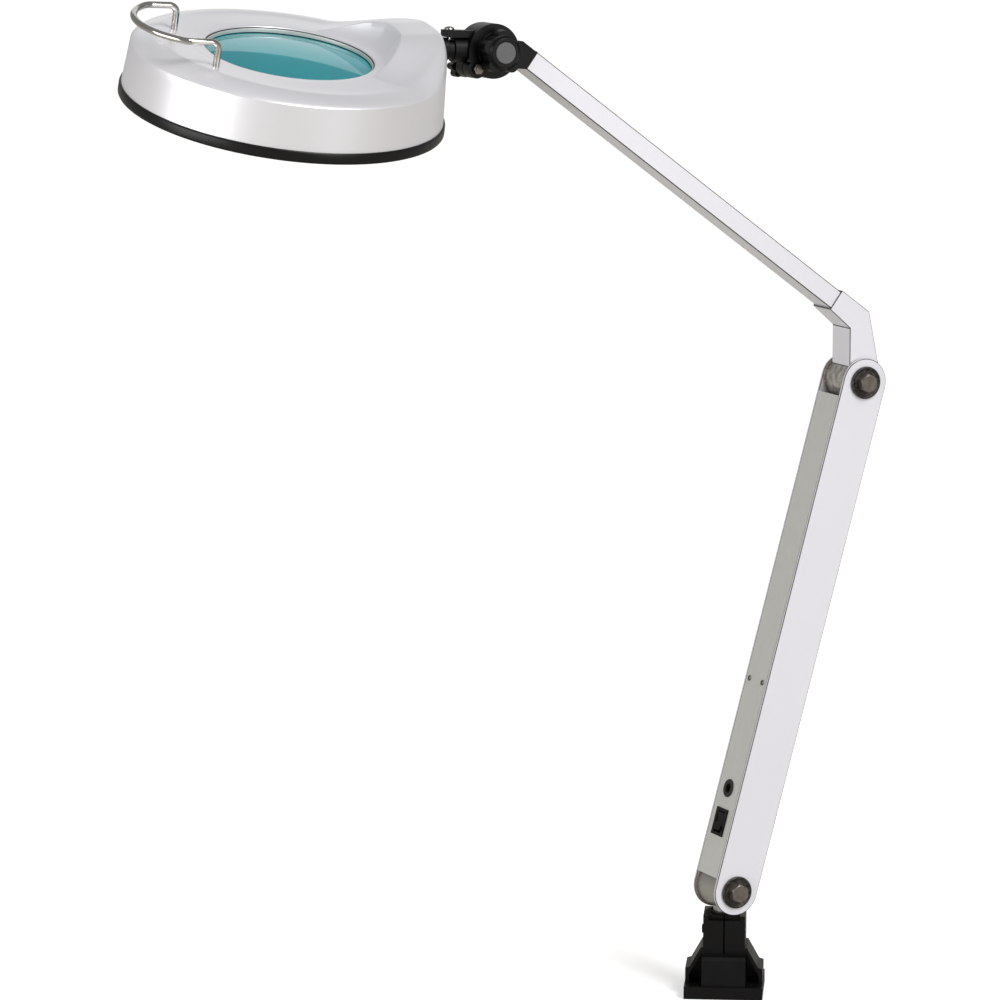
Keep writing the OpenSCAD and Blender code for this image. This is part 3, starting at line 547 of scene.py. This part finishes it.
def housing_section(turn):
    """The shell's outline at a turn from the neck: wall, bevel, crest, ring or scoop, lip, inside."""
    crest = crest_low + crest_front * ((1 - cos(turn)) / 2) ** 3
    outer = risen(turn, block_outer_r)
    inner = risen(turn, block_inner_r)
    top = crest + (block_top - crest) * outer
    shoulder = shoulder_low + shoulder_rise * outer ** 1.6
    shoulder_r = wall_r(shoulder)
    ridge = ridge_r + ridge_spread * outer ** 1.3
    wall = [(wall_foot_r, wall_foot), (wall_r(12), 12), (wall_r(25), 25),
            (wall_r(shoulder - 5), shoulder - 5), (shoulder_r, shoulder)]

    power = 2 / (1.4 + 0.6 * min(1, 3 * outer))
    bevel = []
    for k in range(1, bevel_steps + 1):
        lean = k * pi / (2 * bevel_steps)
        bevel.append((ridge + (shoulder_r - ridge) * cos(lean) ** power,
                      shoulder + (top - shoulder) * sin(lean) ** power))

    narrowing = share(abs(turn), scoop_mouth, scoop_end)
    brim = brim_r - brim_spread * narrowing
    raised_brim = crest + (block_top - crest_drop - crest) * inner - 0.6 * (1 - narrowing)
    flat_brim = lip_top + 0.3 + (brim - lip_r - 2) / 30 * (crest - crest_drop - lip_top)
    brim_z = max(raised_brim, flat_brim) if abs(turn) < block_foot else flat_brim
    deep = brim_z - lip_top

    ring_start_r = ridge - 6
    ring_start_z = top - crest_drop + 0.3 * outer
    ring = [(ridge - 3, top - 0.4), (ring_start_r, ring_start_z)]
    for t in (0.3, 0.6, 0.85, 1):
        ring.append((ring_start_r + (brim + 2 - ring_start_r) * t,
                     ring_start_z + (brim_z - ring_start_z) * t))
    ring += [(brim + 0.8, brim_z - 0.012 * deep), (brim, brim_z - 0.05 * deep)]
    scoop = [(brim + (lip_r + 2.2 - brim) * t, lip_top + 0.25 + (deep - 0.25) * (1 - t) ** 2.1 * 0.95)
             for t in (0.12, 0.28, 0.46, 0.64, 0.82, 1)]

    lip = [(lip_r + 1, lip_top + 0.1), (lip_r + 0.3, lip_top - 0.15), (lip_r, lip_top - 0.6),
           (lip_r, lip_under)]
    inside = [(lip_r + 5, lip_under), (brim + 1, max(lip_under, brim_z - shell - 0.12 * deep)),
              (ridge - 6, top - shell - 0.6), (ridge - 1, top - shell - 0.2),
              (shoulder_r - shell - 1.2, shoulder), (wall_r(shoulder - 3) - shell, shoulder - 3),
              (wall_foot_r - shell, wall_foot)]
    return wall + bevel + ring + scoop + lip + inside


housing = turned("head_housing_shell", housing_section(pi), Matrix(), steps=240)
stations = [mark.value for mark in housing.data.attributes["station"].data]
sections = {}
for vertex, station in zip(housing.data.vertices, stations):
    turn = atan2(vertex.co.y, vertex.co.x)
    key = round(turn, 4)
    if key not in sections:
        sections[key] = housing_section(turn)
    radius, height = sections[key][station]
    vertex.co = (radius * mm * cos(turn), radius * mm * sin(turn), height * mm)
housing.data.transform(head_axes)
smooth(housing, 30)
pearl = Paint("pearl_lacquer", Metallic=0.5, Coat_Weight=0.1, Coat_Roughness=0.3)
mica = pearl.noise(4200, 1)
depth = pearl.noise(12, 2)
pearl.vary(
    Base_Color=pearl.blend(depth, tone(0.83, 0.98, 0.975, 1.035), tone(0.88, 0.98, 0.975, 1.025)),
    Roughness=0.3 + mica * 0.1)
pearl.relief(mica, 0.014 * mm, 0.4)
fit(housing, "head", "housing_paint", pearl, "head_housing")

# ---- Head rim ----
# A soft black plastic ring, moulded with a rounded lower edge. It grips the housing's foot, and
# four small screws hold it from below.
rim_inner = 104.7
rim_outer = 117.9
rim_tall = 8.3
rim_grip = 0.1
rim = turned("head_rim_ring", [
    (rim_inner, 0), (114, 0), (116.6, 0.1), (117.4, 0.5), (117.85, 1.2), (rim_outer, 2.2),
    (117.7, 6.9), (117.4, 7.8), (116.9, rim_tall), (wall_r(rim_tall) + rim_grip, rim_tall),
    (wall_r(6) + rim_grip, 6), (wall_foot_r + rim_grip, wall_foot), (rim_inner, wall_foot)],
    head_axes, steps=240)
smooth(rim, 40)
rim_black = Paint("rim_black", Specular_IOR_Level=0.24)
rim_grain = rim_black.noise(1600, 3)
rim_black.vary(
    Base_Color=rim_black.blend(rim_grain, tone(0.004), tone(0.007, 1, 1.02, 1.15)),
    Roughness=0.26 + rim_grain * 0.12)
rim_black.relief(rim_grain, 0.03 * mm, 0.4)
fit(rim, "head", "rim_plastic", rim_black, "head_rim")

# ---- Lens and bezel ----
# Crown glass, ground to the same curve on both faces, with a blue-green coating. A thin spun
# ring trims the housing's aperture round it, and a thin black ring in the gap round the bezel paints
# the shade there.
lens_r = 63.5
lens_high = 39.3
lens_low = lens_high - 2.5
lens_face_r = 60.3
lens_curve = 346
face_points = 20
sag = lens_curve - sqrt(lens_curve ** 2 - lens_face_r ** 2)
lens_face = []
for k in range(face_points + 1):
    r = lens_face_r * k / face_points
    lens_face.append((r, sag - lens_curve + sqrt(lens_curve ** 2 - r ** 2)))
lens_outline = [(r, lens_high + z) for r, z in lens_face] + [(lens_r, lens_high), (lens_r, lens_low)]
lens_outline += [(r, lens_low - z) for r, z in reversed(lens_face)]
lens = turned("lens_glass", lens_outline, head_axes, closed=False)
smooth(lens, 30)
glass = Paint("lens_glass", Roughness=0.0, IOR=1.52, Transmission_Weight=0.6)
tint = glass.noise(4, 1)
glass.vary(Base_Color=glass.blend(tint, tone(1.0, 0.02, 0.5, 0.58), tone(1.0, 0.035, 0.58, 0.66)))
fit(lens, "head", "lens_glass", glass, "lens")

bezel = turned("lens_bezel_ring", [
    (66.5, 40), (66.5, 41.4), (61.3, 41.4), (61.0, 41.6), (60.95, 42.3), (60.8, 42.6), (60.45, 42.7),
    (60.2, 42.5), (60.1, 42.1), (60.1, 40)], head_axes)
smooth(bezel, 40)
fit(bezel, "head", "satin_metal", sheet, "lens_bezel")

# Painted shade: a thin black ring fills the gap between the bezel and the housing's lip.
bezel_gap_shade = turned("bezel_gap_shade_ring", [(61.05, 41.5), (61.45, 41.5), (61.45, 43.1), (61.05, 43.1)], head_axes)
fit(bezel_gap_shade, "head", "gasket_rubber", rubber)

# ---- Handle ----
# One length of round rod, bent up from two legs and round in a bow, then bright plated. The legs
# pass through the housing's ring, where nuts hold them from inside.
rod_r = 2.4
leg_x = 72.6
leg_y = 42.5
leg_foot = 40.5
leg_middle = 50
top_z = 64.0
bend = 6.0
bow_r = 52.0
fillet = 12.0
bow_x = 66.0
bend_steps = 8
bow_steps = 12
fillet_y = leg_y - fillet
fillet_x = sqrt((bow_r - fillet) ** 2 - fillet_y ** 2)
bow_half = atan2(fillet_y, fillet_x)
route = [(-leg_x, leg_y, leg_foot), (-leg_x, leg_y, leg_middle)]
for k in range(bend_steps + 1):
    lean = k * pi / (2 * bend_steps)
    route.append((-leg_x - bend * (1 - cos(lean)), leg_y, top_z - bend + bend * sin(lean)))
for k in range(bend_steps + 1):
    swing = (pi / 2 - bow_half) * k / bend_steps
    route.append((-bow_x - fillet_x - fillet * sin(swing), fillet_y + fillet * cos(swing), top_z))
for k in range(1, bow_steps + 1):
    swing = bow_half * (1 - k / bow_steps)
    route.append((-bow_x - bow_r * cos(swing), bow_r * sin(swing), top_z))
route += [(x, -y, z) for x, y, z in reversed(route[:-1])]
rod = bpy.data.curves.new("handle_rod", "CURVE")
rod.dimensions = "3D"
rod.bevel_depth = rod_r * mm
rod.bevel_resolution = 8
rod.use_fill_caps = True
line = rod.splines.new("POLY")
line.points.add(len(route) - 1)
for point, spot in zip(line.points, route):
    point.co = (*(c * mm for c in spot), 1)
handle = bpy.data.objects.new("handle_rod", rod)
scene.collection.objects.link(handle)
only(handle)
bpy.ops.object.convert(target="MESH")
handle = bpy.context.object
handle.data.transform(head_axes)
smooth(handle, 40)
fit(handle, "head", "bright_chrome", chrome, "head_handle")
